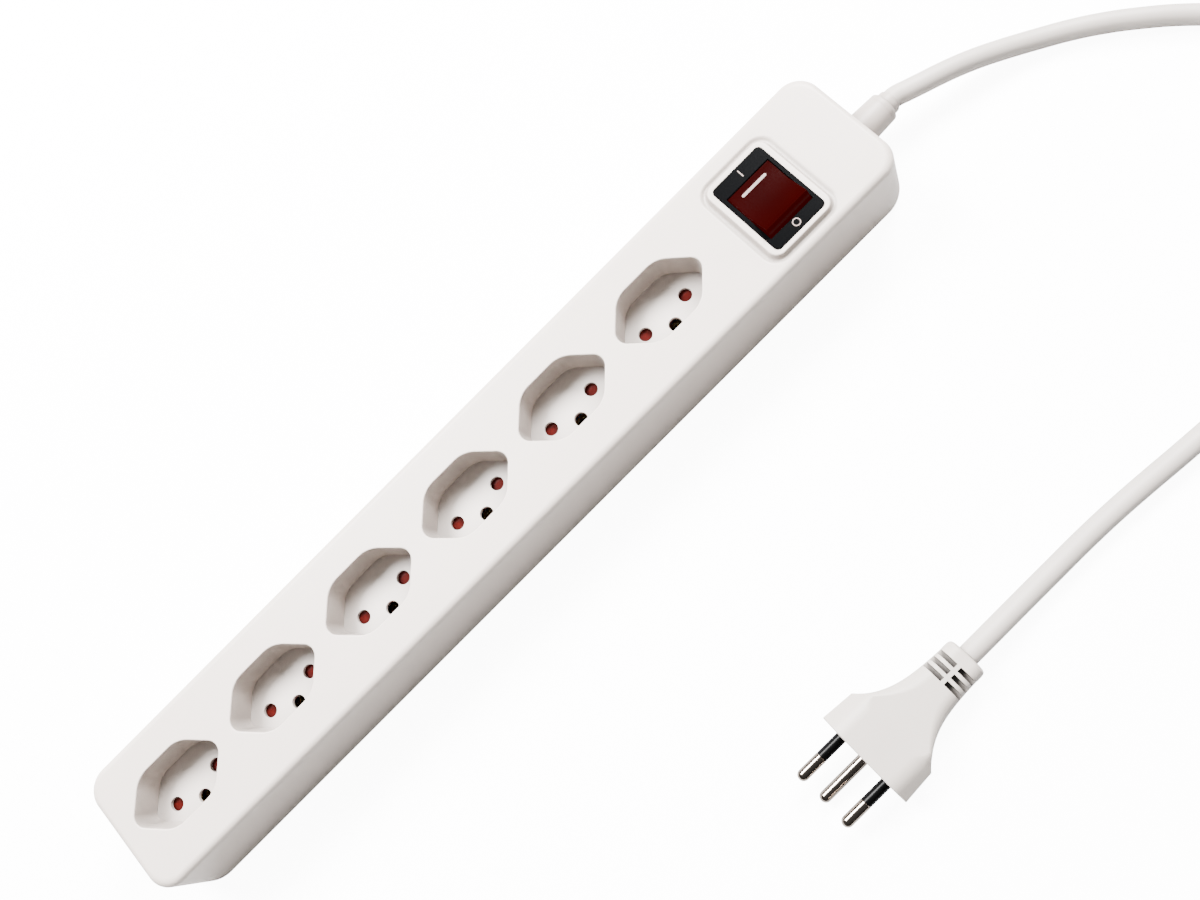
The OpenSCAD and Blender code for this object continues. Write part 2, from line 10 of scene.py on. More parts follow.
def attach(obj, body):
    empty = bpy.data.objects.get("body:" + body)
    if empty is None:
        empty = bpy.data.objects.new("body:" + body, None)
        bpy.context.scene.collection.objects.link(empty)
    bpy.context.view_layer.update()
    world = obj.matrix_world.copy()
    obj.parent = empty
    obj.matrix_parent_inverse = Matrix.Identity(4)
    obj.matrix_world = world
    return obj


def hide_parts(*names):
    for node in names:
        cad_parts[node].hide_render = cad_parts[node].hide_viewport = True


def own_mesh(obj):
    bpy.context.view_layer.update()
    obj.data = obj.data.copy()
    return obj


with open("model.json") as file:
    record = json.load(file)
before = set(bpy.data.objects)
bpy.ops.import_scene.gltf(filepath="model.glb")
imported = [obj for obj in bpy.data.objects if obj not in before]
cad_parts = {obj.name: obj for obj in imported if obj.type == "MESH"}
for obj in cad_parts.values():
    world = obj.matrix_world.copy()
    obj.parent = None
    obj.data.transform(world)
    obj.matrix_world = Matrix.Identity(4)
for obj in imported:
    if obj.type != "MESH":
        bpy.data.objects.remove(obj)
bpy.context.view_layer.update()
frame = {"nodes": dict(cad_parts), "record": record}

MM = 0.001

# ---------------------------------------------------------------- sizes, the same as the CAD part's
BODY_L, BODY_W, BODY_H = 354, 50, 34
ROW_Y = -0.2
SOCKETS_X = [81.7, 36.5, -8.7, -53.9, -99.1, -144.3]
RECESS_DX, RECESS_DY = 0.5, 1
RECESS_TIP_R, RECESS_SIDE_R = 3.8, 9.8
RECESS_HALF_L, RECESS_HALF_W = 18.4, 10.9
FLOOR_Z = 21.8
SWITCH_X, SWITCH_Y = 130.9, -2.1
CORD_R = 3.7
CORD_Z = 12.4
PLUG_X, PLUG_Y, PLUG_Z = 23.6, -146.6, 8.4
COIL_X, COIL_Y = 266, -150

# ---------------------------------------------------------------- materials
DRIFT_SCALE = 60.0
# painted shade in hollows: how far around a point other surfaces count, in mm, and the openness below
# which the painted shade is darkest
SHADE_REACH = 10
OWN_SHADE_REACH = 25
FULL_SHADE_OPENNESS = 0.3


def new_material(name):
    """An empty node material with a Principled shader, and that shader."""
    material = bpy.data.materials.new(name)
    material.use_nodes = True
    return material, material.node_tree.nodes["Principled BSDF"]


def node(material, kind, inputs=(), **settings):
    """A shader node with its settings and unlinked inputs filled in."""
    made = material.node_tree.nodes.new("ShaderNode" + kind)
    for key, value in settings.items():
        setattr(made, key, value)
    for key, value in dict(inputs).items():
        made.inputs[key].default_value = value
    return made


def surface(name, colour, roughness, metallic=0.0, grain=0.25, relief=0.02, tone=0.06,
            hollow_shade=0.0, shade_own_hollows=False, **sockets):
    """A moulded or metal surface: grain is its texture's size in mm, relief its depth in mm,
    tone how much its colour drifts over some centimetres, and hollow_shade how much painted shade
    darkens its colour in hollows, or with shade_own_hollows in those of the piece alone."""
    material, shader = new_material(name)
    link = material.node_tree.links.new
    place = node(material, "TexCoord")
    drift = node(material, "TexNoise", {"Scale": DRIFT_SCALE, "Detail": 4.0})
    fine = node(material, "TexNoise", {"Scale": 1000.0 / grain, "Detail": 2.0})
    rgb = Vector(colour)
    shade = node(material, "ValToRGB")
    shade.color_ramp.elements[0].position = 0.3
    shade.color_ramp.elements[1].position = 0.7
    shade.color_ramp.elements[0].color = (*(rgb * (1 - tone)), 1)
    shade.color_ramp.elements[1].color = (*(rgb * (1 + tone * 0.5)), 1)
    gloss = node(material, "MapRange", {"To Min": roughness * 0.85, "To Max": min(1, roughness * 1.15)})
    bump = node(material, "Bump", {"Strength": 1.0, "Distance": relief * MM})
    link(place.outputs["Object"], drift.inputs["Vector"])
    link(place.outputs["Object"], fine.inputs["Vector"])
    link(drift.outputs["Fac"], shade.inputs["Fac"])
    # painted shade: the colour darkens where nearby surfaces hide the open sky, in hollows and between
    # parts
    if hollow_shade:
        reach = OWN_SHADE_REACH if shade_own_hollows else SHADE_REACH
        open_sky = node(material, "AmbientOcclusion", {"Distance": reach * MM}, samples=4,
                        only_local=shade_own_hollows)
        depth = node(material, "MapRange", {"From Min": FULL_SHADE_OPENNESS, "To Min": 1 - hollow_shade})
        shaded_colour = node(material, "VectorMath", operation="SCALE")
        link(open_sky.outputs["AO"], depth.inputs["Value"])
        link(shade.outputs["Color"], shaded_colour.inputs[0])
        link(depth.outputs["Result"], shaded_colour.inputs["Scale"])
        link(shaded_colour.outputs["Vector"], shader.inputs["Base Color"])
    else:
        link(shade.outputs["Color"], shader.inputs["Base Color"])
    link(fine.outputs["Fac"], gloss.inputs["Value"])
    link(gloss.outputs["Result"], shader.inputs["Roughness"])
    link(fine.outputs["Fac"], bump.inputs["Height"])
    link(bump.outputs["Normal"], shader.inputs["Normal"])
    shader.inputs["Metallic"].default_value = metallic
    for key, value in sockets.items():
        shader.inputs[key.replace("_", " ")].default_value = value
    return material


# the hollow shade values below paint shade into each material's colour in its hollows and between parts
MATERIALS = {
    "print_white": surface("print_white", (0.22, 0.16, 0.145), 0.5, relief=0.0, tone=0.03),
    "shell_white": surface("shell_white", (0.6, 0.525, 0.475), 0.42, grain=0.3, relief=0.006, tone=0.02,
                           hollow_shade=0.97, shade_own_hollows=True),
    "base_white": surface("base_white", (0.6, 0.58, 0.56), 0.5, grain=0.3, relief=0.01, tone=0.03),
    "insert_white": surface("insert_white", (0.56, 0.5, 0.46), 0.4, grain=0.3, relief=0.005, tone=0.02,
                            hollow_shade=0.4),
    "gland_white": surface("gland_white", (0.38, 0.33, 0.3), 0.45, grain=0.3, relief=0.01, tone=0.03,
                           hollow_shade=0.5),
    "cord_white": surface("cord_white", (0.45, 0.405, 0.37), 0.5, grain=0.4, relief=0.012, tone=0.04,
                          hollow_shade=0.5),
    "plug_white": surface("plug_white", (0.46, 0.41, 0.37), 0.48, grain=0.35, relief=0.01, tone=0.03,
                          hollow_shade=0.8),
    "shutter_red": surface("shutter_red", (0.13, 0.006, 0.003), 0.5, tone=0.1, hollow_shade=0.8,
                           Specular_IOR_Level=0.1),
    "switch_black": surface("switch_black", (0.0009, 0.001, 0.0012), 0.25, relief=0.002, tone=0.2,
                            Specular_IOR_Level=0.04),
    # the rocker's faint red glow is painted light, which lifts its shaded faces
    "rocker_red": surface("rocker_red", (0.004, 0.0001, 0.0001), 0.2, relief=0.001, tone=0.25,
                          Specular_IOR_Level=0.03,
                          Emission_Color=(1, 0.005, 0.005, 1), Emission_Strength=0.042),
    "brass": surface("brass", (0.75, 0.55, 0.27), 0.3, 1.0, grain=0.8, relief=0.01, tone=0.15),
    "copper": surface("copper", (0.75, 0.38, 0.22), 0.3, 1.0, grain=0.8, relief=0.01, tone=0.15),
    "screw_steel": surface("screw_steel", (0.6, 0.6, 0.62), 0.35, 1.0, grain=0.5, relief=0.01, tone=0.1),
    "spring_steel": surface("spring_steel", (0.5, 0.5, 0.52), 0.3, 1.0, grain=0.5, relief=0.005, tone=0.1),
    "pin_nickel": surface("pin_nickel", (0.27, 0.23, 0.2), 0.16, 1.0, grain=1.2, relief=0.0, tone=0.1),
    "sleeve_black": surface("sleeve_black", (0.001, 0.001, 0.001), 0.3, relief=0.001, tone=0.2,
                            Specular_IOR_Level=0.08),
    "tie_black": surface("tie_black", (0.03, 0.03, 0.032), 0.5, relief=0.03, tone=0.2),
    "clamp_grey": surface("clamp_grey", (0.35, 0.35, 0.35), 0.5, tone=0.1),
    "wire_brown": surface("wire_brown", (0.12, 0.045, 0.02), 0.4, tone=0.1),
    "wire_blue": surface("wire_blue", (0.02, 0.1, 0.45), 0.4, tone=0.1),
    "wire_green": surface("wire_green", (0.25, 0.5, 0.03), 0.4, tone=0.1),
    "lamp_glass": surface("lamp_glass", (0.9, 0.55, 0.35), 0.08, tone=0.1),
}

for part in frame["record"]["subparts"]:
    mesh = frame["nodes"][part["node"]].data
    mesh.materials.clear()
    mesh.materials.append(MATERIALS[part["material_slot"]])

# ---------------------------------------------------------------- camera


def place_camera(location, target, roll, lens):
    """The scene's camera, looking at target and rolled about its own axis. Degrees and metres."""
    camera = bpy.data.objects.new("camera", bpy.data.cameras.new("camera"))
    bpy.context.scene.collection.objects.link(camera)
    camera.location = location
    facing = (Vector(target) - camera.location).to_track_quat("-Z", "Y").to_matrix().to_4x4()
    turned = facing @ Matrix.Rotation(math.radians(roll), 4, "Z")
    camera.rotation_euler = turned.to_euler()
    camera.data.lens = lens
    camera.data.sensor_width = 36
    camera.data.clip_start = 0.01
    camera.data.clip_end = 20
    bpy.context.scene.camera = camera


place_camera((0.0377, -0.1263, 0.3885), (0.0334, -0.0112, 0), -47.1, 34.25)

# ---------------------------------------------------------------- mains cord

STRIP_ROUTE = [
    (190, 0, 12.4), (191.5, 0, 12.4), (196.5, -1.7, 12.4), (202, -3.6, 12.1), (208, -5.4, 11.3),
    (215, -7.6, 10), (222, -10.1, 8.4), (229, -13, 6.7), (236, -16.3, 5.2), (243, -20.1, 4.2),
    (250, -24.4, 3.8), (259, -31.1, 3.8), (269, -40, 3.8), (279.5, -51, 3.8), (289, -63.5, 3.8),
    (298, -77.5, 3.8), (304.5, -92, 3.8), (309, -108, 4), (310.6, -124, 4.2),
]
PLUG_ROUTE = [
    (218, -161.7, 7.6), (212, -157.2, 6.2), (204, -153.4, 4.6), (194, -151.2, 3.9),
    (184, -150.2, 3.8), (174, -149.6, 3.8), (162, -148.8, 3.8), (149, -147.8, 3.8),
    (136, -147, 3.8), (122, -146.6, 3.8), (108, -146.6, 4), (96, -146.6, 4.6),
    (85, -146.6, 5.9), (77, -146.6, 6.9), (69.8, -146.6, 7.2),
]
# radii of the coil's turns: three on the floor, wound inward, and two on top of them, wound outward
COIL_TURNS = [45.9, 38.5, 31.1, 34.8, 42.2]
FLOOR_TURNS = 3
COIL_END = 4.375
COIL_STEPS = 16
COIL_Z, COIL_RISE = 4.3, 6.4
CHANGE_PART = 0.2


def smooth_step(t):
    """Eases from 0 to 1 as t goes from 0 to 1, and stays there outside."""
    t = min(1.0, max(0.0, t))
    return t * t * (3 - 2 * t)


def coil_point(turn):
    """Centreline of the coil after that many turns, clockwise seen from above. Each turn changes to
    the radius and the level of the next one over its last part."""
    k = int(turn)
    after = min(k + 1, len(COIL_TURNS) - 1)
    ease = smooth_step((turn - k - (1 - CHANGE_PART)) / CHANGE_PART)
    radius = COIL_TURNS[k] + (COIL_TURNS[after] - COIL_TURNS[k]) * ease
    level, next_level = int(k >= FLOOR_TURNS), int(after >= FLOOR_TURNS)
    z = COIL_Z + COIL_RISE * (level + (next_level - level) * ease)
    angle = -2 * math.pi * turn
    return (COIL_X + radius * math.cos(angle), COIL_Y + radius * math.sin(angle), z)


def curve_object(name, points, radius, slot, body):
    """A round cord through the points, as a Bezier curve with automatic handles."""
    data = bpy.data.curves.new(name, "CURVE")
    data.dimensions = "3D"
    data.bevel_depth = radius * MM
    data.bevel_resolution = 6
    data.resolution_u = 6
    data.use_fill_caps = True
    spline = data.splines.new("BEZIER")
    spline.bezier_points.add(len(points) - 1)
    for dot, p in zip(spline.bezier_points, points):
        dot.co = Vector(p) * MM
        dot.handle_left_type = dot.handle_right_type = "AUTO"
    data.materials.append(MATERIALS[slot])
    made = bpy.data.objects.new(name, data)
    bpy.context.scene.collection.objects.link(made)
    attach(made, body)
    return made


coil = [coil_point(k / COIL_STEPS) for k in range(int(COIL_END * COIL_STEPS) + 1)]
cord_points = STRIP_ROUTE + coil + PLUG_ROUTE
cord = curve_object("mains_cord", cord_points, CORD_R, "cord_white", "housing")
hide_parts("cord_from_strip", "cord_coil", "cord_to_plug")

# ---------------------------------------------------------------- outlines and meshes
SHARP_EDGE = 35
BODIES = frame["record"]["behaviour"]["bodies"]
BODY_OF = {part: body for body, parts in BODIES.items() for part in parts}
SLOT_OF = {part["node"]: part["material_slot"] for part in frame["record"]["subparts"]}


def arc(cx, cy, radius, start, end, steps):
    """Points of an arc, angles in degrees."""
    turns = [math.radians(start + (end - start) * i / steps) for i in range(steps + 1)]
    return [(cx + radius * math.cos(t), cy + radius * math.sin(t)) for t in turns]


def rounded_rect(length, width, radius, cx=0, cy=0, steps=8):
    """Outline of a rectangle with round corners, anticlockwise."""
    x, y = length / 2 - radius, width / 2 - radius
    corners = [(x, -y, -90), (x, y, 0), (-x, y, 90), (-x, -y, 180)]
    return [p for dx, dy, a in corners for p in arc(cx + dx, cy + dy, radius, a, a + 90, steps)]


def recess_outline(grow, cx, cy, steps=8):
    """Outline of a socket's six-sided recess, moved outward by grow."""
    tip, side = RECESS_TIP_R + grow, RECESS_SIDE_R + grow
    half, wide = RECESS_HALF_L + grow, RECESS_HALF_W + grow
    sharp_tip = half + tip * (math.sqrt(2) - 1)
    x = sharp_tip - wide - side * math.tan(math.radians(22.5))
    y, end = wide - side, half - tip
    arcs = [(end, 0, tip, -45, 45), (x, y, side, 45, 90), (-x, y, side, 90, 135),
            (-end, 0, tip, 135, 225), (-x, -y, side, 225, 270), (x, -y, side, 270, 315)]
    return [p for dx, dy, r, a, b in arcs for p in arc(cx + dx, cy + dy, r, a, b, steps)]


def rounded_polygon(corners, radii, steps=4):
    """Outline of a polygon whose corners are rounded, each by its own radius."""
    made = []
    count = len(corners)
    for i, radius in enumerate(radii):
        here, back, ahead = (Vector(corners[(i + k) % count]) for k in (0, -1, 1))
        into, out = here - back, ahead - here
        reach = min(radius, 0.49 * into.length, 0.49 * out.length)
        start, end = here - into.normalized() * reach, here + out.normalized() * reach
        for k in range(steps + 1):
            t = k / steps
            made.append((1 - t) ** 2 * start + 2 * t * (1 - t) * here + t * t * end)
    return [tuple(p) for p in made]


class Skin:
    """A mesh made of closed rings of points, in mm."""

    def __init__(self):
        self.points = []
        self.faces = []
        self.plates = []

    def ring(self, points):
        start = len(self.points)
        self.points += [tuple(p) for p in points]
        return list(range(start, len(self.points)))

    def level(self, outline, z):
        return self.ring([(x, y, z) for x, y in outline])

    def bridge(self, rings):
        """Joins each ring to the next one, and returns the last."""
        for a, b in zip(rings, rings[1:]):
            n = len(a)
            self.faces += [(a[i], a[(i + 1) % n], b[(i + 1) % n], b[i]) for i in range(n)]
        return rings[-1]

    def plate(self, *rings):
        """Fills the flat area inside the first ring and outside the others."""
        self.plates.append(rings)

    def mesh(self, name):
        made = bmesh.new()
        dots = [made.verts.new(Vector(p) * MM) for p in self.points]
        for face in self.faces:
            made.faces.new([dots[i] for i in face])
        for rings in self.plates:
            edges = []
            for ring in rings:
                for i, a in enumerate(ring):
                    pair = [dots[a], dots[ring[(i + 1) % len(ring)]]]
                    edges.append(made.edges.get(pair) or made.edges.new(pair))
            bmesh.ops.triangle_fill(made, use_beauty=True, edges=edges)
        bmesh.ops.recalc_face_normals(made, faces=made.faces)
        data = bpy.data.meshes.new(name)
        made.to_mesh(data)
        made.free()
        return data


def add_piece(name, data, slot, body, *nodes, crease=SHARP_EDGE, smooth=True):
    """Puts a piece of the object in the scene: its material, its body and the CAD nodes it stands for."""
    made = bpy.data.objects.new(name, data)
    bpy.context.scene.collection.objects.link(made)
    data.materials.clear()
    data.materials.append(MATERIALS[slot])
    if smooth:
        data.shade_smooth()
        data.set_sharp_from_angle(angle=math.radians(crease))
        weighted = made.modifiers.new("normals", "WEIGHTED_NORMAL")
        weighted.keep_sharp = True
    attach(made, body)
    if nodes:
        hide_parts(*nodes)
    return made


def rounded_copy(part, width, segments=2):
    """A copy of a CAD node with its sharp edges rounded, which stands for the node."""
    data = frame["nodes"][part].data.copy()
    clean = bmesh.new()
    clean.from_mesh(data)
    bmesh.ops.remove_doubles(clean, verts=clean.verts, dist=1e-6)
    bmesh.ops.dissolve_limit(clean, angle_limit=math.radians(1), verts=clean.verts, edges=clean.edges)
    clean.to_mesh(data)
    clean.free()
    made = add_piece(part + "_round", data, SLOT_OF[part], BODY_OF[part], part)
    bevel = made.modifiers.new("edges", "BEVEL")
    bevel.width = width * MM
    bevel.segments = segments
    bevel.limit_method = "ANGLE"
    bevel.angle_limit = math.radians(SHARP_EDGE)
    made.modifiers.move(made.modifiers.find("edges"), 0)
    return made


def lathe(name, profile, centre, slot, body, *nodes, sides=48):
    """A turned piece: profile is (x, radius) pairs along an axis parallel to X through centre."""
    skin = Skin()
    cx, cy, cz = centre
    turns = [2 * math.pi * k / sides for k in range(sides)]
    rings = [skin.ring([(cx + x, cy + r * math.cos(t), cz + r * math.sin(t)) for t in turns])
             for x, r in profile]
    skin.bridge(rings)
    skin.plate(rings[0])
    skin.plate(rings[-1])
    return add_piece(name, skin.mesh(name), slot, body, *nodes)


# ---------------------------------------------------------------- housing
EDGE_R = 2.6
DRAFT, END_LEAN = 1, 6.5
TOP_R, FOOT_R = 8.5, 13.5
INSIDE_L, INSIDE_W, INSIDE_H = 350, 44, 32
INSIDE_LEAN, INSIDE_FOOT_R, INSIDE_TOP_R = 6.5, 11.5, 7
FRAME_W, FRAME_L, FRAME_Y = 22, 30.8, -1.4
PAD_H = 1.2
MARK_Z = 35.62


def quarter(steps):
    """Angles from 0 to a right angle."""
    return [math.pi / 2 * k / steps for k in range(steps + 1)]


def housing_ring(skin, z, inset=0.0):
    """A level of the housing's outside, whose ends lean in more than its long walls."""
    t = min(1.0, z / (BODY_H - EDGE_R))
    length = BODY_L - 2 * (END_LEAN * t + inset)
    width = BODY_W - 2 * (DRAFT * t + inset)
    radius = FOOT_R + (TOP_R - FOOT_R) * t - inset / 2
    return skin.level(rounded_rect(length, width, radius, steps=14), z)


def inside_ring(skin, z):
    """A level of the housing's inside."""
    t = z / INSIDE_H
    radius = INSIDE_FOOT_R + (INSIDE_TOP_R - INSIDE_FOOT_R) * t
    return skin.level(rounded_rect(INSIDE_L - 2 * INSIDE_LEAN * t, INSIDE_W, radius, steps=14), z)


def recess_rings(skin, x):
    """Rings of a recess: its rim, its leaning wall, and the step that the floor plate lies under."""
    rim, lean, foot = 0.5, 0.15, -0.7
    levels = [(lean + rim * (1 - math.sin(a)), BODY_H - rim * (1 - math.cos(a))) for a in quarter(5)]
    levels += [(-0.25, 28), (foot, FLOOR_Z + 0.3), (foot, FLOOR_Z + 0.22)]
    levels += [(0, FLOOR_Z + 0.15), (0, FLOOR_Z - 1.4)]
    return [skin.level(recess_outline(grow, x + RECESS_DX, ROW_Y + RECESS_DY), z) for grow, z in levels]


def pad_ring(skin, out, z):
    """A level of the raised pad, which is narrower across the housing than along it."""
    outline = rounded_rect(FRAME_W + 2 * out, FRAME_L + 1.6 * out, 1.7 + 0.9 * out, SWITCH_X, FRAME_Y)
    return skin.level(outline, z)


def make_upper_shell():
    """The housing: its outside, its inside, the six recesses and the raised pad round the switch."""
    skin = Skin()
    wall = [(0, 0.6), (0.18, 0.18), (0.6, 0), (10, 0), (21, 0)]
    wall += [(BODY_H - EDGE_R * (1 - math.sin(a)), EDGE_R * (1 - math.cos(a))) for a in quarter(9)]
    outside = [housing_ring(skin, z, inset) for z, inset in wall]
    inside = [inside_ring(skin, z) for z in (31, 8, 0)]
    skin.bridge(inside + outside)
    recesses = []
    for x in SOCKETS_X:
        rings = recess_rings(skin, x)
        skin.bridge(rings)
        recesses.append(rings[0])
    groove = [(5.4, 0), (5, -0.08), (4.6, -0.25), (4.2, -0.5), (3.8, -0.7), (3.4, -0.7), (3.05, -0.48)]
    slope = [(2.8, -0.1), (2.6, 0.3), (2.4, 0.72), (2.2, 1), (2, 1.14), (1.75, PAD_H)]
    edge = [(0.4, PAD_H), (0.18, 1.14), (0.1, 0.95), (0.1, -0.8)]
    pad = [pad_ring(skin, out, BODY_H + rise) for out, rise in groove + slope + edge]
    skin.bridge(pad)
    skin.plate(outside[-1], pad[0], *recesses)
    data = skin.mesh("upper_shell_moulding")
    add_piece("upper_shell_moulding", data, "shell_white", "housing", "upper_shell")


make_upper_shell()
for number in range(1, 7):
    rounded_copy(f"socket_insert_{number}", 0.22)
rounded_copy("base_plate", 0.3)
rounded_copy("switch_case", 0.3, segments=3)

# ---------------------------------------------------------------- rocker
AXLE = Vector((SWITCH_X, SWITCH_Y, 31))
BAR_Y, BAR_L = 6.2, 10.9
ROCKER_TOP, ROCKER_SLOPE = 4.4, 1.7 / 8.6
TILT = Matrix.Rotation(math.radians(-9), 4, "X")


def on_rocker(points):
    """Points given in the level rocker's own frame, moved to where the rocker stands at rest."""
    return [tuple(TILT @ Vector(p) + AXLE) for p in points]


rounded_copy("rocker", 0.45, segments=3)


def make_rocker_bar():
    """White bar printed on the ON half, which slopes up from the middle of the rocker."""
    skin = Skin()
    outline = rounded_rect(BAR_L, 1, 0.49, 0, BAR_Y)

    def raised(grow, lift):
        """The bar's outline on the rocker's slope, lifted off it and made longer by grow."""
        return on_rocker([(x * grow, y, ROCKER_TOP + ROCKER_SLOPE * y + lift) for x, y in outline])

    rings = [skin.ring(raised(1, -0.3)), skin.ring(raised(1, 0.04)), skin.ring(raised(0.985, 0.09))]
    skin.bridge(rings)
    skin.plate(rings[-1])
    add_piece("rocker_bar", skin.mesh("rocker_bar"), "print_white", "rocker")


make_rocker_bar()


def make_frame_mark(name, outlines, y):
    """A flat printed mark on the switch's frame: the area between its outlines."""
    skin = Skin()
    rings = [skin.level([(SWITCH_X + px, FRAME_Y + y + py) for px, py in o], MARK_Z) for o in outlines]
    skin.plate(*rings)
    add_piece(name, skin.mesh(name), "print_white", "housing", smooth=False)


make_frame_mark("mark_on", [rounded_rect(0.4, 2.9, 0.19)], 12.7)
make_frame_mark("mark_off", [arc(0, 0, 1.45, 0, 350, 35), arc(0, 0, 1.1, 0, 350, 35)], -12.9)

# ---------------------------------------------------------------- springs
STEPS_A_TURN = 14
SPRING_Z = 18.4
# along the row's Y: where a spring meets its shutter, where it ends, and the wall it stands against
SPRING_PUSH, SPRING_SEAT, SPRING_WALL = 3.65, 14.75, 14.95


def wire_coil(name, start, end, radius, wire, turns, node_name):
    """A coil spring of round wire between two points, which stands for its plain CAD sleeve."""
    start, end = Vector(start), Vector(end)
    line = end - start
    side = line.orthogonal().normalized()
    other = line.normalized().cross(side)
    sixths = [math.pi / 3 * i for i in range(6)]
    skin = Skin()
    rings = []
    steps = turns * STEPS_A_TURN
    for k in range(steps + 1):
        a = 2 * math.pi * k / STEPS_A_TURN
        out = side * math.cos(a) + other * math.sin(a)
        middle = start + line * (k / steps) + out * radius
        section = [out * math.cos(t) + line.normalized() * math.sin(t) for t in sixths]
        rings.append(skin.ring([middle + wire * v for v in section]))
    skin.bridge(rings)
    skin.plate(rings[0])
    skin.plate(rings[-1])
    return add_piece(name, skin.mesh(name), "spring_steel", BODY_OF[node_name], node_name, crease=80)


for number, x in enumerate(SOCKETS_X, start=1):
    push, seat, wall = [Vector((x, ROW_Y + y, SPRING_Z))
                        for y in (SPRING_PUSH, SPRING_SEAT, SPRING_WALL)]
    stands_for = f"shutter_spring_{number}"
    spring = wire_coil(stands_for + "_wire", push, seat, 1.42, 0.175, 9, stands_for)
    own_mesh(spring)
ends = on_rocker([(0, 0, -11.6), (0, 0, -6.7)])
wire_coil("rocker_spring_wire", ends[0], ends[1], 1.3, 0.19, 6, "rocker_spring")

# ---------------------------------------------------------------- gland and plug
# the gland's profile: its root in the housing, its sleeve with a notch near the end, and a thin lip
GLAND = [(166, 4.9), (172.75, 4.9), (172.75, 6.15), (176, 6.14), (180, 5.95), (184.6, 5.74)]
GLAND += [(184.8, 5.62), (185.1, 5.62), (185.3, 5.72), (186.3, 5.68)]
GLAND += [(186.3 + 1.1 * math.sin(a), 4.58 + 1.1 * math.cos(a)) for a in quarter(5)][1:]
GLAND += [(187.45, 4.38), (189.3, 4.34), (189.8, 4.2), (190, 3.78)]
lathe("gland_sleeve", GLAND, (0, 0, CORD_Z), "gland_white", "housing", "cord_gland")

PLUG_HALF_W = 17.65
FRONT_L = 12
PIN_GAP = 19
PIN_L, PIN_R = 19, 2
SLEEVE_L = 9
SLOT_X, SLOT_PITCH = 35, 2.95
SLOT_SIZE = (1.7, 8.4, 6)


def plug_ring(skin, x, shrink=0.0, swell=0.0):
    """A cross-section of the plug: a hexagon whose flanks are cut back towards the strain relief."""
    if x < FRONT_L:
        wide = PLUG_HALF_W - 0.9 * x / FRONT_L - 0.01
    else:
        wide = 6.9 + 9.85 * math.exp(-(x - FRONT_L) / 8.6)
    taper = smooth_step((x - 10) / 20)
    top, bottom = 5.6 - 1.4 * taper, 8.4 - 1.8 * taper
    soft = 0.4 + 2.4 * taper
    upper = min(PLUG_HALF_W, wide + top - soft)
    lower = min(PLUG_HALF_W, wide + bottom - soft)
    half = [(upper - top, top), (wide, upper - wide), (wide, wide - lower), (lower - bottom, -bottom)]
    half = [(y - shrink + swell, z - math.copysign(shrink - swell, z)) for y, z in half]
    corners = half + [(-y, z) for y, z in reversed(half)]
    tip = 0.2 + 0.03 * min(x, FRONT_L) + 1.6 * taper
    round_by = [3.2, tip, tip, 1.2 + 1.2 * taper]
    outline = rounded_polygon(corners, round_by + round_by[::-1])
    return skin.ring([(PLUG_X + x, PLUG_Y + y, PLUG_Z + z) for y, z in outline])


def cut_slots(data, name):
    """Cuts the strain relief's slots: three rows on each side of a web, above and below the cord."""
    body = bpy.data.objects.new(name, data)
    cutters = bpy.data.meshes.new("slots")
    made = bmesh.new()
    stretch = Matrix.Diagonal((*(Vector(SLOT_SIZE) * MM), 1))
    for row in range(3):
        for side in (-1, 1):
            for face in (-1, 1):
                x = PLUG_X + SLOT_X + SLOT_PITCH * row
                place = Vector((x, PLUG_Y + side * 4.9, PLUG_Z - 1.2 + face * 4.7))
                bmesh.ops.create_cube(made, size=1, matrix=Matrix.Translation(place * MM) @ stretch)
    made.to_mesh(cutters)
    made.free()
    tool = bpy.data.objects.new("slots", cutters)
    for o in (body, tool):
        bpy.context.scene.collection.objects.link(o)
    cut = body.modifiers.new("slots", "BOOLEAN")
    cut.operation = "DIFFERENCE"
    cut.solver = "EXACT"
    cut.object = tool
    done = bpy.data.meshes.new_from_object(body.evaluated_get(bpy.context.evaluated_depsgraph_get()))
    for o in (body, tool):
        bpy.data.objects.remove(o)
    return done


def make_plug():
    """The plug's body, from its front face to the collar where the cord comes out."""
    skin = Skin()
    rings = [plug_ring(skin, 0, shrink=0.25)]
    rings += [plug_ring(skin, x) for x in (0.25, 2, 4, 6, 8, 10, FRONT_L)]
    rings += [plug_ring(skin, FRONT_L + 1.4 * k) for k in range(1, 22)]
    collar = [(42.2, 0), (42.4, 0.08), (42.8, 0.1), (44.6, 0.1), (45.4, -0.05), (45.9, -0.4), (46.2, -1)]
    rings += [plug_ring(skin, x, swell=out) for x, out in collar]
    skin.bridge(rings)
    skin.plate(rings[0])
    skin.plate(rings[-1])
    data = cut_slots(skin.mesh("plug_moulding"), "plug_moulding")
    add_piece("plug_moulding", data, "plug_white", "housing", "plug_body")


def pin_profile(end):
    """A pin with a round tip, and a small chamfer where it meets its sleeve or the plug."""
    tip = [(-PIN_L + PIN_R * (1 - math.cos(a)), PIN_R * math.sin(a)) for a in quarter(10)][1:]
    return [(-PIN_L + 0.01, 0.15)] + tip + [(end - 0.15, PIN_R), (end, PIN_R - 0.12)]


make_plug()
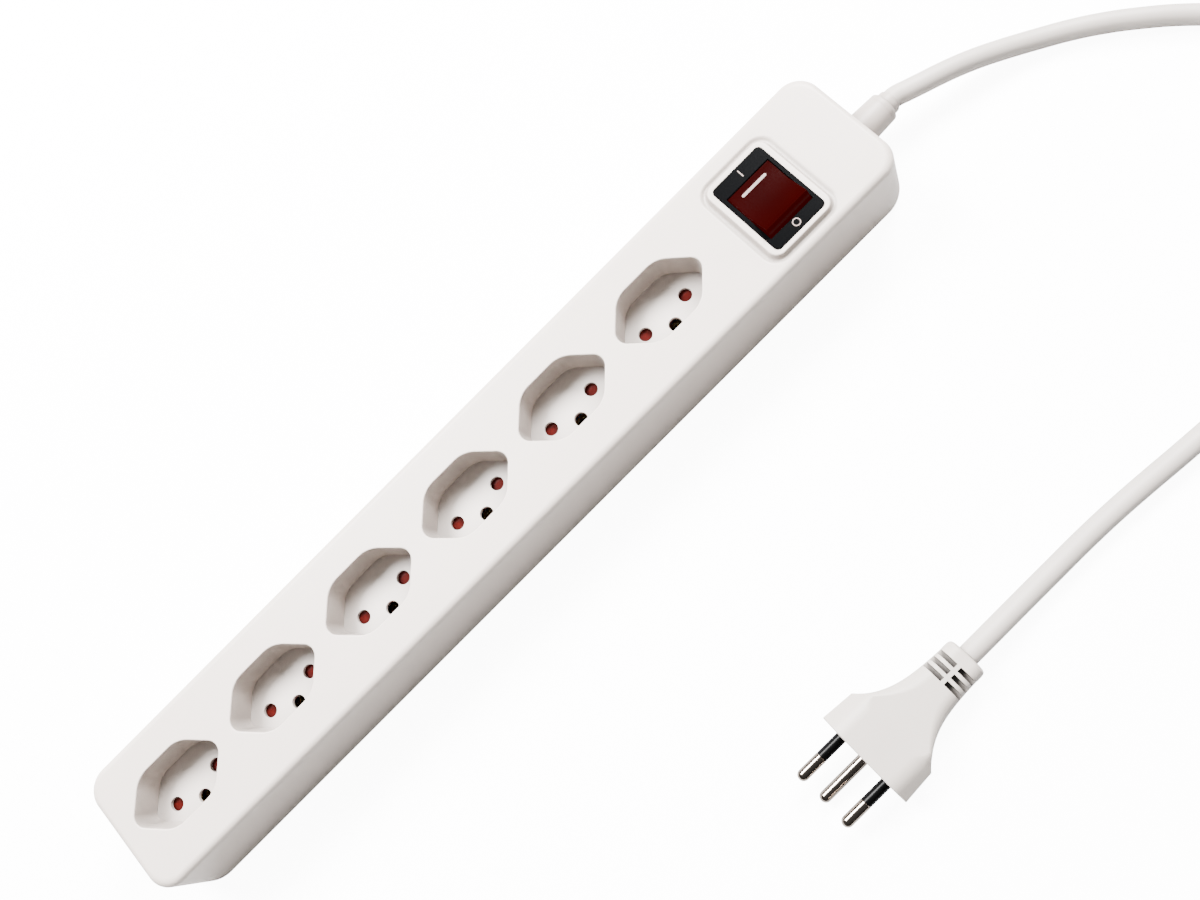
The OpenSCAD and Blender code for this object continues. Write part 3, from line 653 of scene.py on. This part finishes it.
# each pin's name, its place beside the plug's middle, and how much of it a sleeve covers
PINS = [("live", PIN_GAP / 2, 0, SLEEVE_L), ("neutral", -PIN_GAP / 2, 0, SLEEVE_L), ("earth", 0, -5, 0)]
for part, y, z, covered in PINS:
    where = (PLUG_X, PLUG_Y + y, PLUG_Z + z)
    core = [(-covered if covered else 0.2, 1.5), (8, 1.5)]
    profile = pin_profile(-covered) + core
    lathe(f"plug_{part}_pin_turned", profile, where, "pin_nickel", "housing", f"plug_{part}_pin")
    if covered:
        sleeve = [(0.02 - covered, 1.6), (0.05 - covered, 1.86), (0.2 - covered, 1.95), (0.1, 1.95)]
        lathe(f"plug_{part}_sleeve_moulded", sleeve, where, "sleeve_black", "housing",
              f"plug_{part}_sleeve")

# ---------------------------------------------------------------- floor and light
FLOOR_LIFT = 11.0
FLOOR_HALF = 6
WORLD_LIGHT = 0.45
LIGHT_SIZE = 0.5
LIGHT_TARGET = Vector((0, -0.03, 0))


def area_light(name, location, power):
    """A soft square light of that power, facing the part."""
    light = bpy.data.lights.new(name, "AREA")
    light.size = LIGHT_SIZE
    light.energy = power
    made = bpy.data.objects.new(name, light)
    made.location = location
    made.rotation_euler = (LIGHT_TARGET - Vector(location)).to_track_quat("-Z", "Y").to_euler()
    bpy.context.scene.collection.objects.link(made)


def floor_material():
    """A matt white floor, which is paler where the camera sees it than where it lights the object."""
    material = surface("floor_white", (0.52, 0.52, 0.52), 0.9, grain=3, relief=0.0, tone=0.02)
    link = material.node_tree.links.new
    shader = material.node_tree.nodes["Principled BSDF"]
    output = material.node_tree.nodes["Material Output"]
    path = node(material, "LightPath")
    lift = node(material, "Math", {1: FLOOR_LIFT}, operation="MULTIPLY")
    glow = node(material, "Emission", {"Color": (1, 1, 1, 1)})
    both = node(material, "AddShader")
    link(path.outputs["Is Camera Ray"], lift.inputs[0])
    link(lift.outputs["Value"], glow.inputs["Strength"])
    link(shader.outputs["BSDF"], both.inputs[0])
    link(glow.outputs["Emission"], both.inputs[1])
    link(both.outputs["Shader"], output.inputs["Surface"])
    return material


floor_mesh = bpy.data.meshes.new("studio_floor")
corners = [(FLOOR_HALF * x, FLOOR_HALF * y, 0) for x, y in ((-1, -1), (1, -1), (1, 1), (-1, 1))]
floor_mesh.from_pydata(corners, [], [(0, 1, 2, 3)])
floor = bpy.data.objects.new("studio_floor", floor_mesh)
floor.location.z = -0.0002
floor_mesh.materials.append(floor_material())
bpy.context.scene.collection.objects.link(floor)


def studio_world(horizon, middle, zenith, mirrored):
    """Even light from above. What shines reflects a darker room, so that bright metal shows contrast."""
    world = bpy.data.worlds.new("studio")
    bpy.context.scene.world = world
    world.use_nodes = True
    tree = world.node_tree
    place = tree.nodes.new("ShaderNodeTexCoord")
    split = tree.nodes.new("ShaderNodeSeparateXYZ")
    ramp = tree.nodes.new("ShaderNodeValToRGB")
    path = tree.nodes.new("ShaderNodeLightPath")
    dim = tree.nodes.new("ShaderNodeMapRange")
    colours = ramp.color_ramp.elements
    for element, where, colour in ((colours[0], 0.0, horizon), (colours[1], 0.85, zenith),
                                   (colours.new(0.4), 0.4, middle)):
        element.position = where
        element.color = (*colour, 1)
    dim.inputs["To Min"].default_value = WORLD_LIGHT
    dim.inputs["To Max"].default_value = WORLD_LIGHT * mirrored
    tree.links.new(place.outputs["Generated"], split.inputs["Vector"])
    tree.links.new(split.outputs["Z"], ramp.inputs["Fac"])
    tree.links.new(path.outputs["Is Glossy Ray"], dim.inputs["Value"])
    tree.links.new(ramp.outputs["Color"], tree.nodes["Background"].inputs["Color"])
    tree.links.new(dim.outputs["Result"], tree.nodes["Background"].inputs["Strength"])


studio_world((0.06, 0.055, 0.05), (0.6, 0.58, 0.56), (1, 1, 1), 0.35)
area_light("key", (0.9, 0.55, 1.0), 100)
area_light("fill", (-0.2, 0.75, 1.0), 92)
